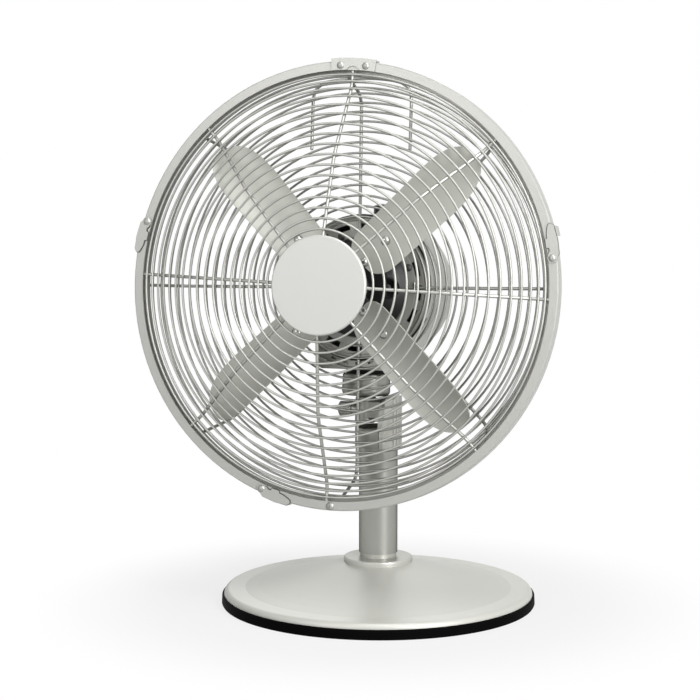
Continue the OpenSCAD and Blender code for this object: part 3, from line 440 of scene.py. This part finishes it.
def seen_directly(tree):
    """A value that is 1 for camera, glossy and transmission rays, and 0 for the rays that light the object."""
    path = tree.nodes.new("ShaderNodeLightPath")
    either = tree.nodes.new("ShaderNodeMath")
    either.operation = "MAXIMUM"
    any_of = tree.nodes.new("ShaderNodeMath")
    any_of.operation = "MAXIMUM"
    link(tree, path, "Is Camera Ray", either, 0)
    link(tree, path, "Is Glossy Ray", either, 1)
    link(tree, either, "Value", any_of, 0)
    link(tree, path, "Is Transmission Ray", any_of, 1)
    return any_of


def white_floor():
    """A pale floor that is seen as white further out and keeps a soft shadow round the base."""
    mat = bpy.data.materials.new("floor")
    mat.use_nodes = True
    tree = mat.node_tree
    tree.nodes.remove(tree.nodes["Principled BSDF"])
    paint = tree.nodes.new("ShaderNodeBsdfDiffuse")
    paint.inputs["Color"].default_value = (0.55, 0.55, 0.55, 1)
    glow = tree.nodes.new("ShaderNodeEmission")
    glow.inputs["Strength"].default_value = 1.0
    place = tree.nodes.new("ShaderNodeTexCoord")
    far = tree.nodes.new("ShaderNodeVectorMath")
    far.operation = "LENGTH"
    link(tree, place, "Object", far, "Vector")
    fade = tree.nodes.new("ShaderNodeMapRange")
    fade.interpolation_type = "SMOOTHSTEP"
    fade.inputs["From Min"].default_value = FADE_FROM
    fade.inputs["From Max"].default_value = FADE_TO
    fade.inputs["To Min"].default_value = WHITE_NEAR
    fade.inputs["To Max"].default_value = 1.0
    link(tree, far, "Value", fade, "Value")
    share = tree.nodes.new("ShaderNodeMath")
    share.operation = "MULTIPLY"
    link(tree, seen_directly(tree), "Value", share, 0)
    link(tree, fade, "Result", share, 1)
    blend = tree.nodes.new("ShaderNodeMixShader")
    link(tree, share, "Value", blend, "Fac")
    link(tree, paint, "BSDF", blend, 1)
    link(tree, glow, "Emission", blend, 2)
    link(tree, blend, "Shader", tree.nodes["Material Output"], "Surface")
    return mat


def white_world(strength):
    """An even sky that lights the object softly and is seen as white."""
    world = bpy.data.worlds.new("world")
    bpy.context.scene.world = world
    world.use_nodes = True
    tree = world.node_tree
    sky = tree.nodes["Background"]
    sky.inputs["Color"].default_value = (1.0, 1.0, 0.985, 1)
    sky.inputs["Strength"].default_value = strength
    white = tree.nodes.new("ShaderNodeBackground")
    white.inputs["Color"].default_value = (1, 1, 1, 1)
    white.inputs["Strength"].default_value = 1.0
    pick = tree.nodes.new("ShaderNodeMixShader")
    link(tree, seen_directly(tree), "Value", pick, "Fac")
    link(tree, sky, "Background", pick, 1)
    link(tree, white, "Background", pick, 2)
    link(tree, pick, "Shader", tree.nodes["World Output"], "Surface")


floor_mesh = bpy.data.meshes.new("floor")
corners = [(-1, -1), (1, -1), (1, 1), (-1, 1)]
floor_mesh.from_pydata([(x * FLOOR_HALF, y * FLOOR_HALF, 0) for x, y in corners], [], [(0, 1, 2, 3)])
floor_mesh.materials.append(white_floor())
floor = bpy.data.objects.new("floor", floor_mesh)
bpy.context.collection.objects.link(floor)
white_world(SKY_STRENGTH)

# The key is tall and low, so that the pole and the neck mirror it as an upright band.
low, high = (Vector(corner) for corner in cad_box)
middle = (low + high) / 2
lamp("key", (1.42, -1.0, 0.95), (0, 0, 0.45), 0.60, 1.75, 37)
lamp("fill", (-0.6, -2.0, 1.0), middle, 0.9, 0.9, 8)
lamp("top", (0.35, -0.5, 2.1), middle, 0.9, 0.9, 15)
lamp("back", (-0.8, 2.0, 1.2), middle, 1.0, 1.0, 5)

camera_data = bpy.data.cameras.new("camera")
camera_data.sensor_width = 36.0
camera_data.lens = 98.45
camera_data.clip_start = 0.05
camera_data.clip_end = 50
camera = bpy.data.objects.new("camera", camera_data)
bpy.context.collection.objects.link(camera)
camera.location = CAMERA_AT
camera.rotation_mode = "QUATERNION"
camera.rotation_quaternion = CAMERA_LOOK.to_track_quat("-Z", "Y")
bpy.context.scene.camera = camera
bpy.context.scene.view_settings.view_transform = "Standard"
